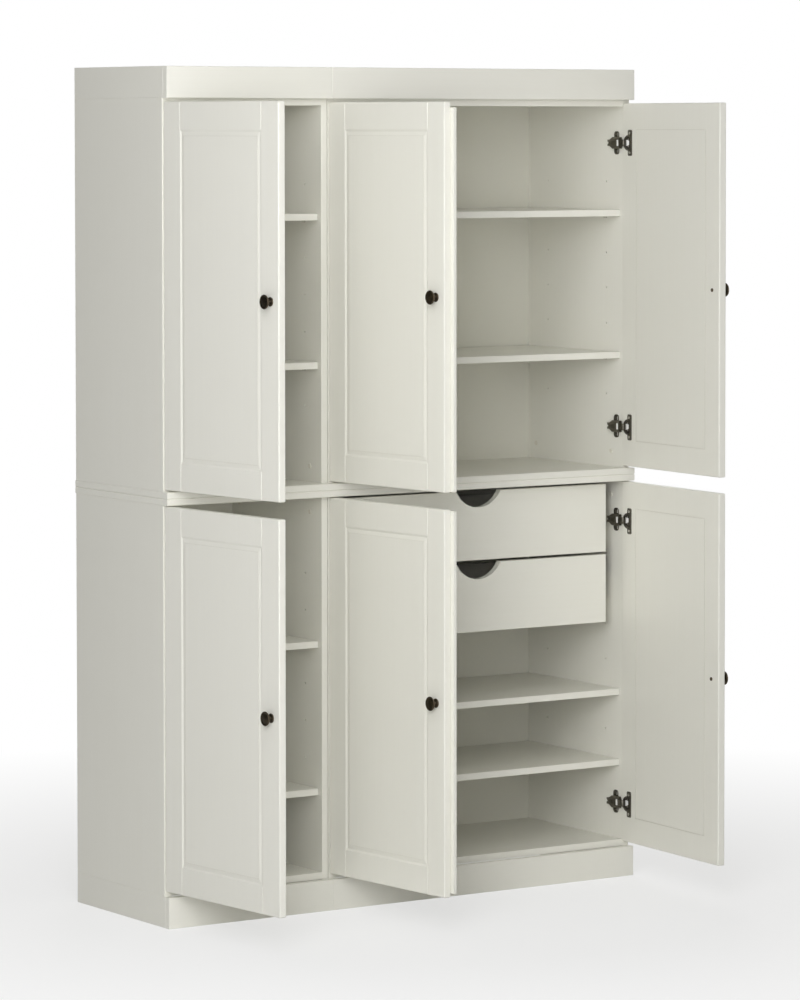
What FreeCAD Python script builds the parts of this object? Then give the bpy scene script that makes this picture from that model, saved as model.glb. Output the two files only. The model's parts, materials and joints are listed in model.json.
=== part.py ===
"""Four-cabinet pantry: a narrow column with one door and a wide column with two doors, each made of
a lower and an upper cabinet, with drawers, shelves, plinth and crown. Millimetres.

Frame: X to the right along the front, Y from the front towards the back, Z up from the floor. The
origin is on the floor, below the middle of the bounding box with the doors standing open. Lengths
marked "depth" are measured back from the front plane, which the closed doors lie in.
"""
import FreeCAD
import Part
import math
import os

Vec = FreeCAD.Vector

# overall
HEIGHT = 2000.0
DEPTH = 438.0
FRONT_Y = -5.64          # row Y of the front plane
PLINTH_H = 73.0
CROWN_H = 74.0
JOINT_Z = 1000.0         # where the upper cabinets stand on the lower ones
BOARD = 16.0
TRIM = 18.0              # plinth and crown boards, drawer fronts
SEAM = 0.8               # chamfer of the outer edges where trim boards and side panels meet
BACK = 4.0
OVERHANG = 2.0           # of the boards at the joint, past the outer sides
PANEL_D = 22.5           # depth of the side, top and bottom panels' front edges
SHELF_D = 38.0           # depth of the shelves' front edges
BACK_GAP = 4.0           # from a shelf to the back panel

# columns: carcass left, carcass right, trim left, trim right
COLUMNS = {
    "left": (-665.0, -217.0, -665.0, -215.0),
    "right": (-215.0, 665.0, -215.0, 665.0),
}
LEVELS = {"lower": PLINTH_H, "upper": JOINT_Z}

# peg holes in the side panels, measured from the cabinet's bottom
PEG_Z0 = 196.0
PEG_PITCH = 88.0
PEG_ROWS = 7
PEG_DEPTHS = (96.0, 349.0)
PEG_R = 2.5
PEG_PLAY = 0.05
PEG_HOLE = 10.0
PEG_OUT = 8.0

# shelves rest on these rows of pegs, counted from the lowest
SHELF_ROWS = {
    ("lower", "left"): (0, 4),
    ("lower", "right"): (0, 2),
    ("upper", "left"): (1, 5),
    ("upper", "right"): (1, 5),
}

# doors
DOOR_T = 19.0
DOOR_Z = {"lower": (85.0, 982.0), "upper": (1020.5, 1917.5)}
DOOR_EASE = 3.0
# door: column, hinge side (+1 when the hinges are on the left), closed span in X, stile width
DOORS = {
    "left": ("left", 1, -663.0, -217.0, 66.0),
    "middle": ("right", 1, -213.0, 224.0, 62.0),
    "right": ("right", -1, 226.0, 663.0, 62.0),
}
OPEN_DEG = {"left": 85.0, "middle": 85.0, "right": 86.0}    # in the stored pose
RAIL = 64.0
GROOVE = 2.4             # depth of the groove round the raised field
GROOVE_OUT = 5.0         # width of its outer slope
GROOVE_IN = 9.0          # width of its inner slope
FIELD = 0.8              # depth of the field and of the groove's inner edge
QUIRK = 0.9              # width of the fine channel between that edge and the field
KNOB_INSET = 31.5

# concealed hinges; "in" is measured inwards from the cabinet's outer side
HINGE_Z = {"lower": (180.0, 885.0), "upper": (1117.5, 1820.0)}
PIVOT_IN = 12.0
PIVOT_D = 9.8
CUP_IN = 24.5
CUP_R = 17.5
CUP_FLOOR = 5.8
PIN_R = 1.25
PIN_PLAY = 0.05
PLATE_OUT = BOARD + 2.5  # the mounting plate's outer face
ARM_OUT = 28.0           # the arm's outer face
NECK_HALF = 8.2          # half the gooseneck's height
KNUCKLE_HALF = 5.4       # half the height of the knuckle and its web, which turn inside the cup

# drawers in the wide lower cabinet
DRAWER_W = 762.0
DRAWER_H = 168.5
DRAWER_D = 36.0
DRAWER_Z = {"upper": 807.5, "lower": 632.5}
BOX_W = 758.0
BOX_LEN = 346.0
BOX_WALL = 12.0
CUTOUT_HALF = 65.0
CUTOUT_DEPTH = 40.0
RUNNER_D = 98.0

CAP_DEPTHS = (75.0, 401.0)
CAP_DROP = 54.5          # from the joint between the cabinets


def box(x0, x1, y0, y1, z0, z1):
    return Part.makeBox(x1 - x0, y1 - y0, z1 - z0, Vec(x0, y0, z0))


def frustum(near, far, y0, y1):
    """A solid between two upright rectangles, each (x0, x1, z0, z1), the near one at the lesser Y."""
    ax0, ax1, az0, az1 = near
    bx0, bx1, bz0, bz1 = far
    return Part.makeWedge(ax0, y0, az0, bz0, bx0, ax1, y1, az1, bz1, bx1)


def inset(rectangle, w):
    x0, x1, z0, z1 = rectangle
    return x0 + w, x1 - w, z0 + w, z1 - w


def eased(x0, x1, y0, y1, z0, z1, r, pick):
    """A board whose edges that pick() chooses are rounded."""
    b = box(x0, x1, y0, y1, z0, z1)
    mid = b.BoundBox.Center
    edges = [e for e in b.Edges if pick(e.CenterOfMass - mid)]
    return b.makeFillet(r, edges)


def front_edges(d):
    return d.y < -1 and (abs(d.x) > 1 or abs(d.z) > 1)


def inner(column):
    """The X of the two inner wall faces of a column."""
    left, right = COLUMNS[column][:2]
    return left + BOARD, right - BOARD


def cabinet_z(level):
    """The Z of a cabinet's inside: top of its bottom panel, underside of its top panel."""
    if level == "lower":
        return PLINTH_H + BOARD, JOINT_Z - BOARD
    return JOINT_Z + BOARD, HEIGHT - CROWN_H - BOARD


def peg_z(level, row):
    return LEVELS[level] + PEG_Z0 + PEG_PITCH * row


def seam_prism(x, into_x, z, into_z):
    """What a seam takes off a panel's edge along Y; the two signs point into the panel."""
    corner = Vec(x, 0, z)
    ends = [corner, corner + Vec(into_x * SEAM, 0, 0), corner + Vec(0, 0, into_z * SEAM), corner]
    return Part.Face(Part.makePolygon(ends)).extrude(Vec(0, DEPTH + 1, 0))


def carcass(level, column):
    left, right, trim_l, trim_r = COLUMNS[column]
    wall_l, wall_r = inner(column)
    z0, z1 = cabinet_z(level)
    sides_z = (PLINTH_H, z1) if level == "lower" else (z0, HEIGHT - CROWN_H)
    seam_z, into_z = (PLINTH_H, 1) if level == "lower" else (HEIGHT - CROWN_H, -1)
    parts = {}
    for name, x0, x1, way in (("left_side", left, wall_l, -1), ("right_side", wall_r, right, 1)):
        hole_x, outer_x = (x1, x0) if way < 0 else (x0, x1)
        panel = eased(x0, x1, PANEL_D, DEPTH, *sides_z, 1.0, lambda d: d.y < -1 and abs(d.x) > 1)
        holes = [
            Part.makeCylinder(PEG_R + PEG_PLAY, PEG_HOLE, Vec(hole_x, y, peg_z(level, row)), Vec(way, 0, 0))
            for y in PEG_DEPTHS
            for row in range(PEG_ROWS)
        ]
        parts[name] = panel.cut(holes + [seam_prism(outer_x, -way, seam_z, into_z)])
    band_l = trim_l - OVERHANG if column == "left" else trim_l
    band_r = trim_r + OVERHANG if column == "right" else trim_r
    outwards = -1 if column == "left" else 1

    def band_edges(d):
        return (d.y < -1 or d.x * outwards > 150) and abs(d.z) > 1

    if level == "lower":
        parts["top"] = eased(band_l, band_r, 0, DEPTH, z1, JOINT_Z, 2.5, band_edges)
        parts["bottom"] = box(wall_l, wall_r, PANEL_D, DEPTH, PLINTH_H, z0)
    else:
        parts["bottom"] = eased(band_l, band_r, 0, DEPTH, JOINT_Z, z0, 2.5, band_edges)
        parts["top"] = box(wall_l, wall_r, PANEL_D, DEPTH, z1, HEIGHT - CROWN_H)
    parts["back"] = box(wall_l, wall_r, DEPTH - BACK, DEPTH, z0, z1)
    return parts


def shelves(level, column):
    x0, x1 = inner(column)
    out = []
    for row in SHELF_ROWS[level, column]:
        z = peg_z(level, row) + PEG_R
        out.append(eased(x0 + 1, x1 - 1, SHELF_D, DEPTH - BACK - BACK_GAP, z, z + BOARD, 1.0,
                         lambda d: d.y < -1 and abs(d.z) > 1))
    return Part.makeCompound(out)


def shelf_pegs():
    out = []
    for (level, column), rows in SHELF_ROWS.items():
        for x, way in zip(inner(column), (1, -1)):
            for y in PEG_DEPTHS:
                for row in rows:
                    start = Vec(x - way * (PEG_HOLE - 1), y, peg_z(level, row))
                    out.append(Part.makeCylinder(PEG_R, PEG_HOLE - 1 + PEG_OUT, start, Vec(way, 0, 0)))
    return Part.makeCompound(out)


def cover_caps():
    out = []
    for column in COLUMNS:
        for x, way in zip(inner(column), (1, -1)):
            for y in CAP_DEPTHS:
                for z in (JOINT_Z - CAP_DROP, JOINT_Z + CAP_DROP):
                    cap = Part.makeCylinder(6.0, 1.8, Vec(x, y, z), Vec(way, 0, 0))
                    rim = [e for e in cap.Edges if abs(e.CenterOfMass.x - x) > 1.5 and e.Closed]
                    out.append(cap.makeFillet(1.2, rim))
    return Part.makeCompound(out)


def trim_fronts(column, z0, z1):
    trim_l, trim_r = COLUMNS[column][2:]
    board = eased(trim_l, trim_r, 0, TRIM, z0, z1, 1.5, front_edges)
    butted = [e for e in board.Edges if e.BoundBox.YMin > TRIM - 0.1 and e.BoundBox.ZLength > 1]
    return board.makeChamfer(SEAM, butted)


def trim_sides(z0, z1):
    out = []
    for trim in (c[2:] for c in COLUMNS.values()):
        for x0, outside in ((trim[0], -1), (trim[1] - TRIM, 1)):
            board = box(x0, x0 + TRIM, TRIM, DEPTH, z0, z1)
            butted = [e for e in board.Edges if e.BoundBox.YMin < DEPTH - 1
                      and (e.CenterOfMass.x - x0 - TRIM / 2) * outside > 1]
            out.append(board.makeChamfer(SEAM, butted))
    return Part.makeCompound(out)


def v_groove(x, z0, z1):
    """A shallow V along Z in the front face, where a rail meets a stile."""
    corners = [Vec(x - 1, -0.01, z0), Vec(x + 1, -0.01, z0), Vec(x, 1.0, z0), Vec(x - 1, -0.01, z0)]
    return Part.Face(Part.makePolygon(corners)).extrude(Vec(0, 0, z1 - z0))


def frame_loop(rectangle, y0, y1, w):
    """A rectangular ring, w wide inside its outline."""
    (x0, x1, z0, z1), (u0, u1, w0, w1) = rectangle, inset(rectangle, w)
    return box(x0, x1, y0, y1, z0, z1).cut(box(u0, u1, y0, y1, w0, w1))


def leaf(door, level):
    """A closed door leaf: a routed groove round a raised field, and bores for the hinge cups."""
    _, hand, x0, x1, stile = DOORS[door]
    z0, z1 = DOOR_Z[level]
    body = box(x0, x1, 0, DOOR_T, z0, z1)
    body = body.makeFillet(DOOR_EASE, body.Edges)
    opening = x0 + stile, x1 - stile, z0 + RAIL, z1 - RAIL
    bottom = inset(opening, GROOVE_OUT)
    edge = inset(bottom, GROOVE_IN)
    groove = frustum(inset(opening, -GROOVE_OUT / GROOVE), bottom, -1, GROOVE)
    groove = groove.cut(frustum(edge, bottom, FIELD, GROOVE))
    cuts = [
        groove,
        frame_loop(edge, FIELD - 0.1, FIELD + 0.6, QUIRK),
        frame_loop(opening, DOOR_T - 1.2, DOOR_T + 1, 1.5),
    ]
    rx0, rx1, rz0, rz1 = opening
    for x in (rx0, rx1):
        cuts += [v_groove(x, z0 - 1, rz0 + 1), v_groove(x, rz1 - 1, z1 + 1)]
    cup_x = (x0 + CUP_IN - 2) if hand > 0 else (x1 - CUP_IN + 2)
    for z in HINGE_Z[level]:
        cuts.append(Part.makeCylinder(CUP_R + 0.1, 30, Vec(cup_x, CUP_FLOOR - 0.1, z), Vec(0, 1, 0)))
    return body.cut(cuts)


def knob(door, level):
    """A round disc on a neck and a rosette, turned about Y, standing on the door's front face."""
    _, hand, x0, x1, _ = DOORS[door]
    profile = [(0, 0), (10.8, 0), (10.8, 1.6), (8.6, 3.2), (5.2, 4.0), (4.2, 7.0), (5.0, 11.0), (9.5, 13.8),
               (15.6, 15.2), (16.5, 16.8), (16.5, 19.2), (15.2, 20.9), (11.5, 21.7), (0, 22.4), (0, 0)]
    x = x1 - KNOB_INSET if hand > 0 else x0 + KNOB_INSET
    z = sum(DOOR_Z[level]) / 2
    wire = Part.makePolygon([Vec(x + r, -h, z) for r, h in profile])
    return Part.Face(wire).revolve(Vec(x, 0, z), Vec(0, -1, 0), 360)


def astragal(level):
    """A strip behind the middle door's free edge, which the right door closes against."""
    _, _, _, x1, _ = DOORS["middle"]
    z0, z1 = cabinet_z(level)
    return eased(x1 - 22, x1 + 12, DOOR_T, DOOR_T + 8, z0 + 6, z1 - 6, 1.5,
                 lambda d: abs(d.z) < 1 and d.y > 1)


def mirrored(shape, door):
    """A part made for a left-hand hinge, with X measured in from the outer side, put at its door."""
    column, hand = DOORS[door][:2]
    if hand > 0:
        shape.translate(Vec(COLUMNS[column][0], 0, 0))
        return shape
    shape = shape.mirror(Vec(0, 0, 0), Vec(1, 0, 0))
    shape.translate(Vec(COLUMNS[column][1], 0, 0))
    return shape


def cup(z):
    """A hinge cup with its flange and the pin that the arm turns on."""
    axis = Vec(0, 1, 0)
    shell = Part.makeCylinder(CUP_R, DOOR_T - CUP_FLOOR, Vec(CUP_IN, CUP_FLOOR, z), axis)
    rim = Part.makeCylinder(CUP_R + 1.5, 1.3, Vec(CUP_IN, DOOR_T, z), axis)
    flange = eased(CUP_IN + 2, CUP_IN + 21, DOOR_T, DOOR_T + 1.3, z - 32, z + 32, 5.0,
                   lambda d: abs(d.x) > 1 and abs(d.z) > 1)
    hollow = Part.makeCylinder(CUP_R - 1, 30, Vec(CUP_IN, CUP_FLOOR + 1, z), axis)
    pin = Part.makeCylinder(PIN_R, 23.0, Vec(PIVOT_IN, PIVOT_D, z - 11.5), Vec(0, 0, 1))
    return shell.fuse([rim, flange]).cut(hollow).fuse(pin).removeSplitter()


def arm(z):
    """A hinge arm: a knuckle on the pin, a gooseneck out of the cup and a forked body along the wall."""
    w, k = NECK_HALF, KNUCKLE_HALF
    knuckle = Part.makeCylinder(2.6, 2 * k, Vec(PIVOT_IN, PIVOT_D, z - k), Vec(0, 0, 1))
    neck = [
        box(PIVOT_IN, ARM_OUT, PIVOT_D - 1.2, PIVOT_D + 1.2, z - k, z + k),
        box(ARM_OUT - 2.4, ARM_OUT, PIVOT_D - 1.2, 26, z - w, z + w),
    ]
    upper = [(23, 13), (24, 14), (55, 14), (66, 7.5), (75, 7.5), (75, 4), (69, 0)]
    lower = [(y, -h) for y, h in reversed(upper[:-1])]
    outline = Part.makePolygon([Vec(PLATE_OUT, y, z + h) for y, h in upper + lower + upper[:1]])
    body = Part.Face(outline).extrude(Vec(ARM_OUT - PLATE_OUT, 0, 0))
    pocket = box(22, ARM_OUT + 1, 28, 38, z - w, z + w)
    bore = Part.makeCylinder(PIN_R + PIN_PLAY, 3 * w, Vec(PIVOT_IN, PIVOT_D, z - 1.5 * w), Vec(0, 0, 1))
    return knuckle.fuse(neck + [body]).cut([pocket, bore]).removeSplitter()


def plate(z):
    """A mounting plate with two wings, which the arm clips on."""
    wings = eased(BOARD, PLATE_OUT, 41, 60, z - 28.5, z + 28.5, 4.0,
                  lambda d: abs(d.y) > 1 and abs(d.z) > 1)
    base = box(BOARD, PLATE_OUT, 28, 74, z - 9, z + 9)
    return wings.fuse(base).removeSplitter()


def opened(shape, door):
    """Turns a closed door's part to the stored pose, about the hinge axis."""
    column, hand = DOORS[door][:2]
    left, right = COLUMNS[column][:2]
    x = left + PIVOT_IN if hand > 0 else right - PIVOT_IN
    shape.rotate(Vec(x, PIVOT_D, 0), Vec(0, 0, 1), -hand * OPEN_DEG[door])
    return shape


def drawer_centre():
    return sum(inner("right")) / 2


def drawer_front(which):
    """A front board with a half-round finger cut-out in its top edge."""
    cx, z0 = drawer_centre(), DRAWER_Z[which]
    top = z0 + DRAWER_H
    r = (CUTOUT_HALF ** 2 + CUTOUT_DEPTH ** 2) / (2 * CUTOUT_DEPTH)
    x0, x1 = cx - DRAWER_W / 2, cx + DRAWER_W / 2
    front = eased(x0, x1, DRAWER_D, DRAWER_D + TRIM, z0, top, 1.5, front_edges)
    hole = Part.makeCylinder(r, 60, Vec(cx, DRAWER_D - 20, top - CUTOUT_DEPTH + r), Vec(0, 1, 0))
    return front.cut(hole)


def drawer_box(which):
    """Two sides, a back and a bottom, glued up behind the front board."""
    cx, z0 = drawer_centre(), DRAWER_Z[which] + 14
    x0, x1 = cx - BOX_W / 2, cx + BOX_W / 2
    y0, y1 = DRAWER_D + TRIM, DRAWER_D + TRIM + BOX_LEN
    body = box(x0, x1, y0, y1, z0, z0 + 110)
    inside = box(x0 + BOX_WALL, x1 - BOX_WALL, y0 - 1, y1 - BOX_WALL, z0 + 12, z0 + 200)
    under = box(x0 + BOX_WALL, x1 - BOX_WALL, y0 - 1, y1 - BOX_WALL, z0 - 1, z0 + 6)
    return body.cut([inside, under])


def drawer_runners():
    """Four side blocks, each with a ledge that a drawer side slides on."""
    x0, x1 = inner("right")
    out = []
    for z in DRAWER_Z.values():
        seat = z + 14 - 0.3
        for wall, way in ((x0, 1), (x1, -1)):
            for reach, top in ((42.0, seat + 45), (55.0, seat)):
                a, b = sorted((wall, wall + way * reach))
                piece = box(a, b, RUNNER_D, DEPTH - BACK - 8, seat - 10, top)
                out.append(piece if top > seat else out.pop().fuse(piece).removeSplitter())
    return Part.makeCompound(out)


def build():
    nodes = {
        "plinth_front_left": trim_fronts("left", 0, PLINTH_H),
        "plinth_front_right": trim_fronts("right", 0, PLINTH_H),
        "plinth_sides": trim_sides(0, PLINTH_H),
        "crown_front_left": trim_fronts("left", HEIGHT - CROWN_H, HEIGHT),
        "crown_front_right": trim_fronts("right", HEIGHT - CROWN_H, HEIGHT),
        "crown_sides": trim_sides(HEIGHT - CROWN_H, HEIGHT),
        "shelf_pegs": shelf_pegs(),
        "cover_caps": cover_caps(),
        "drawer_runners": drawer_runners(),
    }
    for level in LEVELS:
        for column in COLUMNS:
            for name, shape in carcass(level, column).items():
                nodes[f"{level}_{column}_{name}"] = shape
            nodes[f"{level}_{column}_shelves"] = shelves(level, column)
    arms, plates = [], []
    for level in LEVELS:
        for door in DOORS:
            name = f"{level}_{door}_door"
            nodes[name] = opened(leaf(door, level), door)
            nodes[name + "_knob"] = opened(knob(door, level), door)
            cups = [mirrored(cup(z), door) for z in HINGE_Z[level]]
            nodes[name + "_hinge_cups"] = opened(Part.makeCompound(cups), door)
            arms += [mirrored(arm(z), door) for z in HINGE_Z[level]]
            plates += [mirrored(plate(z), door) for z in HINGE_Z[level]]
        nodes[f"{level}_middle_door_astragal"] = opened(astragal(level), "middle")
    nodes["hinge_arms"] = Part.makeCompound(arms)
    nodes["hinge_plates"] = Part.makeCompound(plates)
    for which in DRAWER_Z:
        nodes[f"{which}_drawer_front"] = drawer_front(which)
        nodes[f"{which}_drawer_box"] = drawer_box(which)
    return nodes


os.makedirs("parts", exist_ok=True)
for node, shape in build().items():
    shape.translate(Vec(0, FRONT_Y, 0))
    shape.exportStep(f"parts/{node}.step")
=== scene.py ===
"""Looks of the four-cabinet pantry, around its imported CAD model. Metres; local shapes are in millimetres.

The boards, doors and drawers are the CAD nodes with better materials. The hinges, knobs and shelf pegs
are detailed pieces that stand for the plain CAD ones.
"""

import json
import math

import bmesh
import bpy
from mathutils import Matrix, Vector


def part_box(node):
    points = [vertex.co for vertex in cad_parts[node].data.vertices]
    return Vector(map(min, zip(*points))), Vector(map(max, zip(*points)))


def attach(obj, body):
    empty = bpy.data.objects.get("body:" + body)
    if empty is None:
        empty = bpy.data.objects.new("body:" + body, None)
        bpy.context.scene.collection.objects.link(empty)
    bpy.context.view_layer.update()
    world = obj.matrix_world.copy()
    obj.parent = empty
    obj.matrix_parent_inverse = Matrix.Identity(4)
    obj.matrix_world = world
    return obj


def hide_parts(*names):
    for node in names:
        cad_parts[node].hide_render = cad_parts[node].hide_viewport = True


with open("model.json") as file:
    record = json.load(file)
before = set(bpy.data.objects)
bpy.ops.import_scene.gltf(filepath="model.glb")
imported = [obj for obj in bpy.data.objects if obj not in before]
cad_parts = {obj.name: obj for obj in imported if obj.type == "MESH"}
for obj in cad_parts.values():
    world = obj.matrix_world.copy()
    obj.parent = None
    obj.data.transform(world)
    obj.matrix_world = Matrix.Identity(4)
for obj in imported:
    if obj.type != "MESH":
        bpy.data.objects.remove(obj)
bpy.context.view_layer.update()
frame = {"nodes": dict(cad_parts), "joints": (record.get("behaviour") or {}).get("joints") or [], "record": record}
scene = bpy.context.scene

MM = 0.001
BOARD = 16.0              # mm, of the cabinet boards
DOOR_T = 19.0             # mm, of the door leaves

# hinge, in mm: u inwards from the cabinet's outer side, v back from the front plane, w up
PIVOT_U, PIVOT_V = 12.0, 9.8
CUP_U, CUP_R = 24.5, 17.5
CUP_LIP = DOOR_T + 1.3
CUP_STEPS = 56
FLANGE_HALF, FLANGE_SCREW_W = 32.0, 24.0
ARM_TOP = 28.0
PLATE_TOP = BOARD + 2.5
PLATE_SCREW_W = 20.0
NECK_END, NECK_HALF = 22.9, 8.2         # where the arm's wide part ends, and half its width
FOOT_END, FOOT_HALF = 18.5, 6.4         # narrow enough to clear the cup when the door is wide open
TONGUE_HALF, KNUCKLE_HALF = 7.0, 5.4

# shelf pegs
PEG_DEPTHS = (96.0, 349.0)
PEG_R = 2.5
PEG_OUT = 8.0


# ---------------------------------------------------------------- frame

def side(node, end):
    """A corner of a CAD node's box, in millimetres."""
    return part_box(node)[end] / MM


FRONT_Y = side("crown_front_left", 0).y


def door_facts(level, door):
    """The column's outer side, the hand (+1 when hinged on the left) and the joint of a door."""
    joint = next(j for j in frame["joints"] if j["name"] == f"{level}_{door}_door_hinge")
    hand = 1 if joint["axis"][2] < 0 else -1
    return Vector(joint["pos_m"]).x / MM - hand * PIVOT_U, hand, joint


def hinge_place(level, door, z):
    """Maps (u, v, w) to the row frame, for the parts that stay on the cabinet."""
    outer_x, hand, _ = door_facts(level, door)
    turned = Matrix(((hand, 0, 0, outer_x), (0, 1, 0, FRONT_Y), (0, 0, 1, z), (0, 0, 0, 1)))
    return Matrix.Scale(MM, 4) @ turned


def door_place(level, door, z):
    """Maps (u, v, w) of the closed door to the row frame, with the door open as stored."""
    joint = door_facts(level, door)[2]
    pivot = Matrix.Translation(joint["pos_m"])
    opened = Matrix.Rotation(math.radians(-joint["range_deg"][0]), 4, Vector(joint["axis"]))
    return pivot @ opened @ pivot.inverted() @ hinge_place(level, door, z)


DOORS = [(level, door) for level in ("lower", "upper") for door in ("left", "middle", "right")]


def hinge_heights(level, door):
    """The heights of a door's two hinges, from the ends of its cups' flanges."""
    node = f"{level}_{door}_door_hinge_cups"
    return side(node, 0).z + FLANGE_HALF, side(node, 1).z - FLANGE_HALF


def door_middle(level, door):
    """The height of a door's middle, where its knob is."""
    node = f"{level}_{door}_door"
    return (side(node, 0).z + side(node, 1).z) / 2


# ---------------------------------------------------------------- materials

class Graph:
    """A material's node tree, with short ways to add and join nodes."""

    def __init__(self, name):
        self.material = bpy.data.materials.new(name)
        self.material.use_nodes = True
        self.tree = self.material.node_tree
        self.shader = self.tree.nodes["Principled BSDF"]
        self.where = self.add("ShaderNodeTexCoord").outputs["Object"]

    def add(self, kind, **values):
        node = self.tree.nodes.new(kind)
        for key, value in values.items():
            if hasattr(node, key):
                setattr(node, key, value)
            else:
                node.inputs[key.replace("_", " ")].default_value = value
        return node

    def join(self, source, target):
        self.tree.links.new(source, target)

    def noise(self, scale, stretch=(1, 1, 1), detail=4.0, roughness=0.6):
        place = self.add("ShaderNodeMapping")
        place.inputs["Scale"].default_value = stretch
        self.join(self.where, place.inputs["Vector"])
        noise = self.add("ShaderNodeTexNoise", Scale=scale, Detail=detail, Roughness=roughness)
        self.join(place.outputs["Vector"], noise.inputs["Vector"])
        return noise.outputs["Fac"]

    def span(self, value, low, high, from_low=0.3, from_high=0.7):
        node = self.add("ShaderNodeMapRange", From_Min=from_low, From_Max=from_high, To_Min=low, To_Max=high)
        self.join(value, node.inputs["Value"])
        return node.outputs["Result"]

    def times(self, a, b):
        node = self.add("ShaderNodeMath", operation="MULTIPLY")
        self.join(a, node.inputs[0])
        self.join(b, node.inputs[1])
        return node.outputs["Value"]

    def mix(self, factor, a, b):
        """Blends two colours; either may be a plain colour or another node's output."""
        node = self.add("ShaderNodeMix", data_type="RGBA")
        for socket, value in ((node.inputs[0], factor), (node.inputs[6], a), (node.inputs[7], b)):
            if isinstance(value, bpy.types.NodeSocket):
                self.join(value, socket)
            else:
                socket.default_value = value
        return node.outputs[2]

    def bump(self, height, distance, strength=1.0, under=None):
        node = self.add("ShaderNodeBump", Strength=strength, Distance=distance)
        self.join(height, node.inputs["Height"])
        if under:
            self.join(under, node.inputs["Normal"])
        return node.outputs["Normal"]

    def finish(self, colour, roughness, normal, **plain):
        for output, name in ((colour, "Base Color"), (roughness, "Roughness"), (normal, "Normal")):
            self.join(output, self.shader.inputs[name])
        for key, value in plain.items():
            self.shader.inputs[key.replace("_", " ")].default_value = value
        return self.material


def rgb(r, g, b):
    return (r, g, b, 1.0)


def painted_wood(axis):
    """Satin warm-white paint, brushed along the board's length, with painted shade darkening its corners."""
    g = Graph("painted_wood_" + "xyz"[axis])
    along = [170.0, 170.0, 170.0]
    along[axis] = 2.2
    strokes = g.noise(1.0, along, detail=5.0, roughness=0.65)
    cloudy = g.noise(3.0, detail=2.0)
    dust = g.noise(900.0, detail=2.0)
    colour = g.mix(g.span(strokes, 0.0, 1.0), rgb(0.866, 0.858, 0.786), rgb(0.854, 0.845, 0.770))
    colour = g.mix(g.span(cloudy, 0.0, 0.3), colour, rgb(0.842, 0.833, 0.755))
    # painted shade: an ambient-occlusion mask darkens the paint in corners and grooves, where shade falls
    corner = g.add("ShaderNodeAmbientOcclusion", samples=6, inside=False, only_local=True, Distance=0.006)
    painted_corner_shade = g.span(corner.outputs["AO"], 0.45, 0.0, 0.25, 0.85)
    colour = g.mix(painted_corner_shade, colour, rgb(0.52, 0.50, 0.42))
    rough = g.span(g.times(strokes, cloudy), 0.36, 0.5, 0.1, 0.45)
    normal = g.bump(dust, 0.00006, 0.4, g.bump(strokes, 0.00012, 0.35))
    return g.finish(colour, rough, normal, IOR=1.46)


def back_board():
    """Thin hardboard with a flatter coat of the same paint and the weave of its pressing mesh."""
    g = Graph("back_board")
    cloudy = g.noise(2.2, detail=3.0)
    fibres = g.noise(420.0, (1, 1, 0.35), detail=4.0)
    colour = g.mix(g.span(cloudy, 0.0, 1.0), rgb(0.835, 0.827, 0.748), rgb(0.820, 0.812, 0.730))
    colour = g.mix(g.span(fibres, 0.0, 0.2), colour, rgb(0.77, 0.76, 0.67))
    return g.finish(colour, g.span(fibres, 0.48, 0.62), g.bump(fibres, 0.0003, 0.5), IOR=1.45)


def dark_bronze():
    """Oil-rubbed bronze: nearly black, browner on its sharp edges, partly as rubbed wear and partly as a painted
    highlight.
    """
    g = Graph("dark_bronze")
    patina = g.noise(160.0, detail=5.0)
    specks = g.noise(1400.0, detail=3.0)
    edge = g.add("ShaderNodeNewGeometry").outputs["Pointiness"]
    colour = g.mix(g.span(patina, 0.0, 1.0), rgb(0.046, 0.040, 0.030), rgb(0.100, 0.078, 0.052))
    # partly painted highlight: sharp edges picked out in lighter brown, as well as rubbed wear
    colour = g.mix(g.span(edge, 0.0, 0.8, 0.51, 0.60), colour, rgb(0.30, 0.235, 0.16))
    rough = g.span(patina, 0.28, 0.46)
    return g.finish(colour, rough, g.bump(specks, 0.00006, 0.5), Metallic=1.0)


def hinge_steel():
    """Stamped steel under dark antique nickel plating, with faint rolling lines and rubbed edges."""
    g = Graph("hinge_steel")
    rolled = g.noise(1.0, (240, 240, 2600), detail=3.0)
    patina = g.noise(230.0, detail=4.0)
    colour = g.mix(g.span(patina, 0.0, 1.0), rgb(0.105, 0.098, 0.078), rgb(0.190, 0.178, 0.150))
    edge = g.add("ShaderNodeNewGeometry").outputs["Pointiness"]
    colour = g.mix(g.span(edge, 0.0, 0.7, 0.52, 0.62), colour, rgb(0.42, 0.40, 0.35))
    return g.finish(colour, g.span(patina, 0.36, 0.50), g.bump(rolled, 0.00005, 0.5), Metallic=1.0)


def bright_nickel(name):
    """Polished nickel plating, for screws and shelf pegs."""
    g = Graph(name)
    turned = g.noise(1.0, (1800, 1800, 300), detail=2.0)
    haze = g.noise(300.0, detail=3.0)
    colour = g.mix(g.span(haze, 0.0, 1.0), rgb(0.80, 0.79, 0.75), rgb(0.68, 0.665, 0.62))
    return g.finish(colour, g.span(haze, 0.16, 0.30), g.bump(turned, 0.00004, 0.4), Metallic=1.0)


def zinc_with_painted_reflection():
    """Die-cast zinc coloured nearly white, a painted reflection standing in for the shine of its metal faces, for
    the adjusting blocks and the links.
    """
    g = Graph("zinc_with_painted_reflection")
    cast = g.noise(500.0, detail=4.0)
    haze = g.noise(90.0, detail=3.0)
    # painted reflection: the near-white colour stands in for the light its metal faces reflect
    colour = g.mix(g.span(haze, 0.0, 1.0), rgb(0.97, 0.965, 0.93), rgb(0.93, 0.925, 0.88))
    return g.finish(colour, g.span(haze, 0.38, 0.5), g.bump(cast, 0.00008, 0.4), Metallic=0.08)


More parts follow.
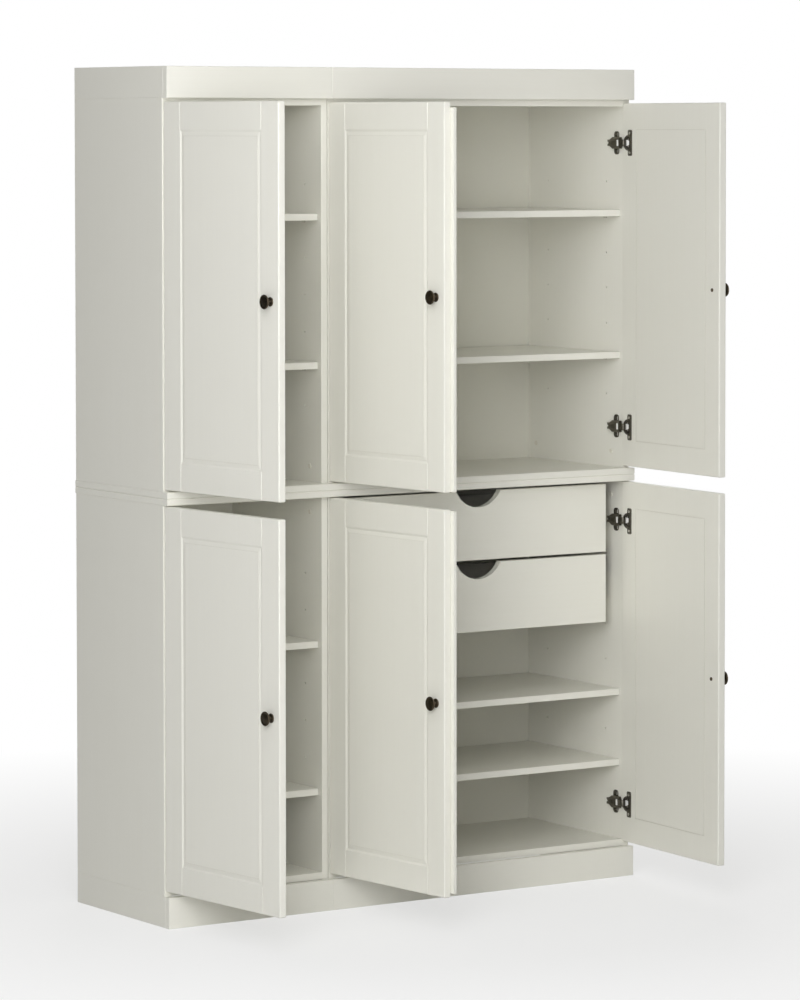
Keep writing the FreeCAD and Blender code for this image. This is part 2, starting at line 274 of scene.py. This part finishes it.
def cap_plastic():
    """Moulded cream polyethylene, a little waxy."""
    g = Graph("cap_plastic")
    cloudy = g.noise(90.0, detail=2.0)
    grain = g.noise(2200.0, detail=2.0)
    colour = g.mix(g.span(cloudy, 0.0, 1.0), rgb(0.80, 0.77, 0.68), rgb(0.76, 0.73, 0.63))
    return g.finish(colour, g.span(cloudy, 0.38, 0.5), g.bump(grain, 0.00005, 0.4),
                    Subsurface_Weight=0.05, IOR=1.5)


BOARDS = [painted_wood(axis) for axis in range(3)]
FINISHES = {
    "back_board": back_board(),
    "dark_bronze": dark_bronze(),
    "hinge_steel": hinge_steel(),
    "peg_steel": bright_nickel("peg_steel"),
    "cap_plastic": cap_plastic(),
}
BRIGHT = bright_nickel("bright_nickel")
ZINC_PAINTED_REFLECTION = zinc_with_painted_reflection()


def dress_cad_nodes():
    """Gives every CAD node its material; paint strokes follow each board's longest side."""
    for part in frame["record"]["subparts"]:
        obj = frame["nodes"][part["node"]]
        low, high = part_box(part["node"])
        size = high - low
        material = FINISHES.get(part["material_slot"]) or BOARDS[max(range(3), key=lambda i: size[i])]
        for slot in obj.material_slots:
            slot.material = material
        if not obj.material_slots:
            obj.data.materials.append(material)


# ---------------------------------------------------------------- mesh tools

SHARP_FROM = math.radians(38)           # steeper edges stay sharp in the shading
FULL_TURN = 2 * math.pi


def piece(name, bm, place, body, material, stands_for=None):
    """Makes an object of a millimetre mesh, put in place and riding on its body."""
    bm.transform(place)
    bmesh.ops.remove_doubles(bm, verts=bm.verts, dist=1e-7)
    bmesh.ops.recalc_face_normals(bm, faces=bm.faces)
    mesh = bpy.data.meshes.new(name)
    bm.to_mesh(mesh)
    bm.free()
    mesh.shade_smooth()
    mesh.set_sharp_from_angle(angle=SHARP_FROM)
    mesh.materials.append(material)
    obj = bpy.data.objects.new(name, mesh)
    scene.collection.objects.link(obj)
    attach(obj, body)
    if stands_for:
        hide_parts(stands_for)
    return obj


def joined(*meshes):
    """One mesh of several."""
    whole = bmesh.new()
    for bm in meshes:
        part = bpy.data.meshes.new("part")
        bm.to_mesh(part)
        bm.free()
        whole.from_mesh(part)
        bpy.data.meshes.remove(part)
    return whole


def moved(bm, matrix):
    bm.transform(matrix)
    return bm


def arc(cx, cy, r, start, end, steps):
    """Points on an arc, angles in degrees."""
    turn = [math.radians(start + (end - start) * i / steps) for i in range(steps + 1)]
    return [(cx + r * math.cos(t), cy + r * math.sin(t)) for t in turn]


def rounded(x0, x1, y0, y1, r, steps=5):
    """Outline of a rectangle with round corners."""
    return (arc(x1 - r, y1 - r, r, 0, 90, steps) + arc(x0 + r, y1 - r, r, 90, 180, steps)
            + arc(x0 + r, y0 + r, r, 180, 270, steps) + arc(x1 - r, y0 + r, r, 270, 360, steps))


def stamped(outline, low, high, holes=(), edge=0.25):
    """A flat blank with holes, its edges rounded, from height low to high along local z."""
    curve = bpy.data.curves.new("blank", "CURVE")
    curve.dimensions = "2D"
    curve.fill_mode = "BOTH"
    curve.extrude = (high - low) / 2 - edge
    curve.bevel_depth = edge
    curve.bevel_resolution = 1
    curve.offset = -edge
    for points in (outline, *holes):
        spline = curve.splines.new("POLY")
        spline.points.add(len(points) - 1)
        for point, (x, y) in zip(spline.points, points):
            point.co = (x, y, 0, 1)
        spline.use_cyclic_u = True
    helper = bpy.data.objects.new("blank", curve)
    mesh = bpy.data.meshes.new_from_object(helper)
    bm = bmesh.new()
    bm.from_mesh(mesh)
    bpy.data.objects.remove(helper)
    bpy.data.curves.remove(curve)
    bpy.data.meshes.remove(mesh)
    return moved(bm, Matrix.Translation((0, 0, (low + high) / 2)))


# local x, y, z of a blank become (v, w, u), (u, w, v) or (u, v, w)
VWU = Matrix(((0, 0, 1, 0), (1, 0, 0, 0), (0, 1, 0, 0), (0, 0, 0, 1)))
UWV = Matrix(((1, 0, 0, 0), (0, 0, 1, 0), (0, 1, 0, 0), (0, 0, 0, 1)))


def lathe(profile, steps=40):
    """Turns (radius, height) points about local z. A closed profile makes a ring."""
    bm = bmesh.new()
    rings = []
    for r, h in profile:
        if r < 1e-6:
            rings.append([bm.verts.new((0, 0, h))])
            continue
        turn = [FULL_TURN * i / steps for i in range(steps)]
        rings.append([bm.verts.new((r * math.cos(t), r * math.sin(t), h)) for t in turn])
    for a, b in zip(rings, rings[1:]):
        for i in range(steps):
            j = (i + 1) % steps
            corners = [a[i % len(a)], a[j % len(a)], b[j % len(b)], b[i % len(b)]]
            unique = list(dict.fromkeys(corners))
            if len(unique) > 2:
                bm.faces.new(unique)
    return bm


def screw(radius, height):
    """A pan-head screw's head with a cross recess; it stands up from z 0."""
    slot, long = radius * 0.13, radius * 0.55
    quarter = [(slot, slot), (slot, long), (-slot, long)]
    cross = []
    for turn in range(4):
        c, s = math.cos(turn * math.pi / 2), math.sin(turn * math.pi / 2)
        cross += [(x * c - y * s, x * s + y * c) for x, y in quarter]
    crown = stamped(arc(0, 0, radius, 0, 345, 23), height * 0.3, height, [cross], edge=radius * 0.18)
    seat = lathe([(0, 0), (radius, 0), (radius, height * 0.45), (0, height * 0.45)], 24)
    return joined(crown, seat)


# ---------------------------------------------------------------- hinges

def outward(u, v, w):
    """Turns local z to face the inside of the cabinet, away from its side."""
    return Matrix.Translation((u, v, w)) @ Matrix.Rotation(math.radians(90), 4, "Y")


def off_door(u, v, w):
    """Turns local z to face away from the door's inner face."""
    return Matrix.Translation((u, v, w)) @ Matrix.Rotation(math.radians(-90), 4, "X")


def both_halves(half):
    """A (v, w) outline from its half with w above zero; a middle point on w 0 is used once."""
    mirrored = [(v, -w) for v, w in reversed(half) if w]
    return half + mirrored


def arm_mesh():
    """The forked channel over the mounting plate and the gooseneck that turns down into the cup."""
    outline = both_halves([(26.5, NECK_HALF), (26.5, 12.5), (28, 14), (55, 14), (66, 7.5), (75, 7.5), (75, 4),
                           (69, 0)])
    window = rounded(29.5, 39, -NECK_HALF, NECK_HALF, 1.2)
    rear_slot = rounded(58, 66, -1.6, 1.6, 1.5)
    inner = both_halves([(28, 7), (28, 12), (29, 12.5), (54.4, 12.5), (65.3, 6.1), (73.6, 6.1), (73.6, 5.4),
                         (67.5, 0)])
    top = stamped(outline, ARM_TOP - 1.5, ARM_TOP, [window, rear_slot], 0.45)
    walls = stamped(outline, PLATE_TOP + 0.1, ARM_TOP - 1.2, [inner], 0.2)
    bend = arc(ARM_TOP - 5, 13.6, 5, 0, -90, 6) + [(NECK_END, 8.6), (NECK_END, 11)]
    neck = [(ARM_TOP, 28), *bend, *arc(ARM_TOP - 5, 13.6, 2.6, -90, 0, 6), (ARM_TOP - 2.4, 28)]
    foot = [(NECK_END + 0.6, 8.7), (NECK_END + 0.6, 10.9), (FOOT_END, 10.9), (FOOT_END, 8.7)]
    return joined(moved(top, VWU), moved(walls, VWU), stamped(neck, -NECK_HALF, NECK_HALF, edge=0.3),
                  stamped(foot, -FOOT_HALF, FOOT_HALF, edge=0.3))


def plate_mesh():
    """The cruciform mounting plate: a ridge under the arm and two wings with round ends."""
    wing = [(60, 12)] + arc(53, 21.5, 7, 0, 90, 5) + arc(48, 21.5, 7, 90, 180, 5) + [(41, 12)]
    outline = both_halves([(28, 9), (40, 9)] + wing[::-1] + [(62, 9), (74, 9)])
    slots = [rounded(43.2, 48.0, w - 5.2, w + 5.2, 2.3) for w in (PLATE_SCREW_W, -PLATE_SCREW_W)]
    ridge = stamped(rounded(40, 73, -6.5, 6.5, 1.5), PLATE_TOP - 0.2, 21.5, edge=0.4)
    return joined(moved(stamped(outline, BOARD, PLATE_TOP, slots, 0.4), VWU), moved(ridge, VWU))


def cup_mesh():
    """The drawn cup with its lip, the flange beside it and the pin across its mouth."""
    shell = lathe([(0, 5.8), (14.5, 5.8), (16.6, 6.4), (CUP_R, 8.2), (CUP_R, DOOR_T), (19.0, DOOR_T),
                   (19.0, CUP_LIP - 0.9), (18.2, CUP_LIP - 0.1), (17.2, CUP_LIP), (16.5, CUP_LIP - 0.7),
                   (16.5, 9.0), (15.6, 7.4), (14.0, 6.8), (0, 6.8)], CUP_STEPS)
    mouth = 17.2                        # radius at the lip, which the flange follows
    u0, u1 = CUP_U + 2, CUP_U + 21
    reach = math.degrees(math.acos((u0 - CUP_U) / mouth))
    round_u0, round_u1, round_w = u0 + 4, u1 - 4, FLANGE_HALF - 4
    outline = arc(CUP_U, 0, mouth, -reach, reach, 24) + [(u0, 24)]
    outline += arc(round_u0, round_w, 4, 180, 90, 5) + arc(round_u1, round_w, 4, 90, 0, 5)
    outline += arc(round_u1, -round_w, 4, 0, -90, 5) + arc(round_u0, -round_w, 4, -90, -180, 5)
    outline += [(u0, -24)]
    flange = stamped(outline, DOOR_T, CUP_LIP, edge=0.3)
    pin = lathe([(0, -11.5), (1.25, -11.5), (1.25, 11.5), (0, 11.5)], 16)
    moved(pin, Matrix.Translation((PIVOT_U, PIVOT_V, 0)))
    return joined(moved(shell, off_door(CUP_U, 0, 0)), moved(flange, UWV), pin)


def liner_mesh():
    """The dark inside of the cup."""
    skin = lathe([(0, 6.85), (13.6, 6.85), (15.2, 7.6), (16.2, 9.2), (16.4, 9.2), (16.4, 18.6), (16.2, 18.6),
                  (16.0, 9.4), (15.0, 7.9), (13.5, 7.2), (0, 7.2)], CUP_STEPS)
    return moved(skin, off_door(CUP_U, 0, 0))


def cam_mesh():
    """The adjusting block in the arm's window."""
    block = stamped(rounded(30.0, 38.5, 0.6 - NECK_HALF, NECK_HALF - 0.6, 1.0), 21.6, 27.0, edge=0.6)
    return moved(block, VWU)


def link_mesh():
    """The tongue at the arm's end, pale with painted reflection, and the knuckle round the pin inside the cup."""
    tongue = stamped([(FOOT_END - 0.1, 8.8), (FOOT_END - 0.1, 10.8), (PIVOT_U, 10.8), (PIVOT_U, 8.8)],
                     -TONGUE_HALF, TONGUE_HALF, edge=0.3)
    half = KNUCKLE_HALF
    knuckle = lathe([(1.3, -half), (2.4, -half), (2.6, 0.2 - half), (2.6, half - 0.2), (2.4, half),
                     (1.3, half), (1.3, -half)], 24)
    return joined(tongue, moved(knuckle, Matrix.Translation((PIVOT_U, PIVOT_V, 0))))


def hinge(level, door, z, number):
    """The pieces of one hinge; the arm's side stays on the cabinet and the cup's side swings with the door."""
    stay, swing = hinge_place(level, door, z), door_place(level, door, z)
    base, leaf = f"{level}_{door}_door_hinge_{number}", f"{level}_{door}_door"
    steel = FINISHES["hinge_steel"]
    piece(base + "_arm", arm_mesh(), stay, "carcass", steel, "hinge_arms")
    piece(base + "_plate", plate_mesh(), stay, "carcass", steel, "hinge_plates")
    # the adjusting block and the link take the near-white painted reflection
    piece(base + "_cam", joined(cam_mesh(), link_mesh()), stay, "carcass", ZINC_PAINTED_REFLECTION)
    plate_screws = joined(*[moved(screw(3.9, 2.2), outward(PLATE_TOP, 53.6, w))
                            for w in (-PLATE_SCREW_W, PLATE_SCREW_W)],
                          moved(screw(2.6, 1.2), outward(ARM_TOP, 62, 0)))
    piece(base + "_plate_screws", plate_screws, stay, "carcass", steel)
    piece(base + "_cup", cup_mesh(), swing, leaf, steel, leaf + "_hinge_cups")
    piece(base + "_cup_lining", liner_mesh(), swing, leaf, steel)
    flange_screws = joined(*[moved(screw(3.4, 1.6), off_door(CUP_U + 11.5, CUP_LIP, w))
                             for w in (-FLANGE_SCREW_W, FLANGE_SCREW_W)])
    piece(base + "_flange_screws", flange_screws, swing, leaf, BRIGHT)


# ---------------------------------------------------------------- knobs, pegs

def knob_mesh():
    """A cast knob: stepped rosette, waisted neck, and a dished disc with a beaded rim."""
    rosette = [(0, 0), (10.4, 0)] + arc(9.8, 1.0, 1.0, -60, 60, 4) + arc(8.4, 2.2, 0.8, 20, 100, 3)
    neck = [(6.6, 3.1), (5.0, 3.9), (4.3, 5.2), (4.0, 7.2), (4.3, 9.4), (5.6, 11.4), (7.8, 13.0)]
    back = [(10.8, 14.1), (13.8, 15.0), (15.3, 15.6)]
    rim = arc(15.0, 17.6, 1.5, -60, 150, 10)
    face = [(13.2, 18.3), (12.6, 17.9), (10.5, 18.0), (7.5, 18.6), (4.0, 19.1), (0, 19.3)]
    return lathe(rosette + neck + back + rim + face, 72)


def knob(level, door):
    """The knob on the door's front and the head of its screw on the inner face."""
    node = f"{level}_{door}_door"
    place = door_place(level, door, door_middle(level, door))
    low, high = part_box(node + "_knob")
    u = (place.inverted() @ ((low + high) / 2)).x
    out = Matrix.Translation((u, 0, 0)) @ Matrix.Rotation(math.radians(90), 4, "X")
    bronze = FINISHES["dark_bronze"]
    piece(node + "_knob_casting", moved(knob_mesh(), out), place, node, bronze, node + "_knob")
    piece(node + "_knob_screw", moved(screw(4.4, 2.2), off_door(u, DOOR_T, 0)), place, node,
          bronze)


def shelf_pegs():
    """Turned pegs with a collar against the wall and a domed end."""
    profile = [(0, -6), (PEG_R - 0.3, -6), (PEG_R, -5.5), (PEG_R, 0.0), (3.6, 0.0), (3.6, 0.7), (3.3, 0.9),
               (PEG_R, 0.9), (PEG_R, PEG_OUT - 0.8), (PEG_R - 0.3, PEG_OUT - 0.2), (1.4, PEG_OUT), (0, PEG_OUT)]
    pegs = []
    for level in ("lower", "upper"):
        for column in ("left", "right"):
            node = f"{level}_{column}_shelves"
            low, high = side(node, 0), side(node, 1)
            for z in (low.z - PEG_R, high.z - BOARD - PEG_R):
                for depth in PEG_DEPTHS:
                    for x, way in ((low.x - 1, 1), (high.x + 1, -1)):
                        place = Matrix.Translation((x, FRONT_Y + depth, z))
                        place = place @ Matrix.Rotation(math.radians(90 * way), 4, "Y")
                        pegs.append(moved(lathe(profile, 20), place))
    piece("turned_shelf_pegs", joined(*pegs), Matrix.Scale(MM, 4), "carcass",
          FINISHES["peg_steel"], "shelf_pegs")


# ---------------------------------------------------------------- stage

def camera():
    """A long lens from the front left at eye height, with a little shift, as the frame is composed."""
    data = bpy.data.cameras.new("camera")
    data.lens, data.sensor_width = 158.83, 36.0
    data.shift_x, data.shift_y = -0.08, -0.18
    data.clip_end = 200.0
    obj = bpy.data.objects.new("camera", data)
    obj.location = (-5.758, -8.8264, 1.8607)
    turn_in, tip_down = math.radians(34.058), math.radians(2.513)
    obj.rotation_euler = (math.radians(90) - tip_down, 0, -turn_in)
    scene.collection.objects.link(obj)
    scene.camera = obj


AIM = Vector((0, 0, 1.1))
SOFT_BOX_COLOUR = (0.985, 0.985, 1.0)


def area_light(name, location, size, power):
    """A square soft box that points at the middle of the object."""
    data = bpy.data.lights.new(name, "AREA")
    data.shape, data.size, data.energy, data.color = "SQUARE", size, power, SOFT_BOX_COLOUR
    obj = bpy.data.objects.new(name, data)
    obj.location = location
    obj.rotation_euler = (AIM - Vector(location)).to_track_quat("-Z", "Y").to_euler()
    obj.visible_camera = False
    scene.collection.objects.link(obj)


def camera_rays(tree):
    """1 for what is seen directly and 0 for what lights the object."""
    return tree.nodes.new("ShaderNodeLightPath").outputs["Is Camera Ray"]


def sky(zenith, right):
    """White behind the object; what lights it is a faint dome, brighter overhead and to the right."""
    world = bpy.data.worlds.new("studio")
    world.use_nodes = True
    scene.world = world
    tree = world.node_tree
    new, link = tree.nodes.new, tree.links.new
    seen, dome = tree.nodes["Background"], new("ShaderNodeBackground")
    seen.inputs["Color"].default_value = rgb(1, 1, 1)
    dome.inputs["Color"].default_value = rgb(1.0, 0.99, 0.95)
    split, total = new("ShaderNodeSeparateXYZ"), new("ShaderNodeMath")
    link(new("ShaderNodeTexCoord").outputs["Generated"], split.inputs["Vector"])
    for axis, most, socket in (("Z", zenith, 0), ("X", right, 1)):
        rise = new("ShaderNodeMapRange")
        rise.inputs["To Max"].default_value = most
        link(split.outputs[axis], rise.inputs["Value"])
        link(rise.outputs["Result"], total.inputs[socket])
    link(total.outputs["Value"], dome.inputs["Strength"])
    mix = new("ShaderNodeMixShader")
    link(camera_rays(tree), mix.inputs["Fac"])
    link(dome.outputs["Background"], mix.inputs[1])
    link(seen.outputs["Background"], mix.inputs[2])
    link(mix.outputs["Shader"], tree.nodes["World Output"].inputs["Surface"])


def floor():
    """A pale studio floor that shades to white away from the object, where it is seen directly."""
    bm = bmesh.new()
    bmesh.ops.create_circle(bm, cap_ends=True, segments=96, radius=60.0)
    mesh = bpy.data.meshes.new("floor")
    bm.to_mesh(mesh)
    bm.free()
    obj = bpy.data.objects.new("floor", mesh)
    scene.collection.objects.link(obj)
    g = Graph("studio_floor")
    away = g.add("ShaderNodeVectorMath", operation="LENGTH")
    g.join(g.where, away.inputs[0])
    glow = g.times(g.span(away.outputs["Value"], 0.6, 1.0, 0.8, 2.8), camera_rays(g.tree))
    g.join(g.mix(g.noise(40.0), rgb(0.90, 0.90, 0.89), rgb(0.88, 0.88, 0.87)), g.shader.inputs["Base Color"])
    g.shader.inputs["Roughness"].default_value = 0.9
    shine = g.add("ShaderNodeEmission")
    mix = g.add("ShaderNodeMixShader")
    g.join(glow, mix.inputs["Fac"])
    g.join(g.shader.outputs["BSDF"], mix.inputs[1])
    g.join(shine.outputs["Emission"], mix.inputs[2])
    g.join(mix.outputs["Shader"], g.tree.nodes["Material Output"].inputs["Surface"])
    mesh.materials.append(g.material)


camera()
dress_cad_nodes()
for level, door in DOORS:
    for number, z in enumerate(hinge_heights(level, door), 1):
        hinge(level, door, z, number)
    knob(level, door)
shelf_pegs()
sky(0.26, 0.40)
area_light("key", (-2.5, -3.4, 2.3), 1.8, 22.0)
area_light("fill", (-3.2, -3.2, 1.4), 2.0, 20.0)
area_light("top", (-1.6, -1.8, 3.2), 1.5, 20.0)
area_light("broad", (-3.8, -4.6, 2.4), 2.5, 108.0)
area_light("low", (-3.0, -4.6, 0.5), 2.5, 22.0)
area_light("rear", (2.6, 4.2, 2.6), 2.0, 45.0)
floor()
scene.view_settings.view_transform = "Standard"
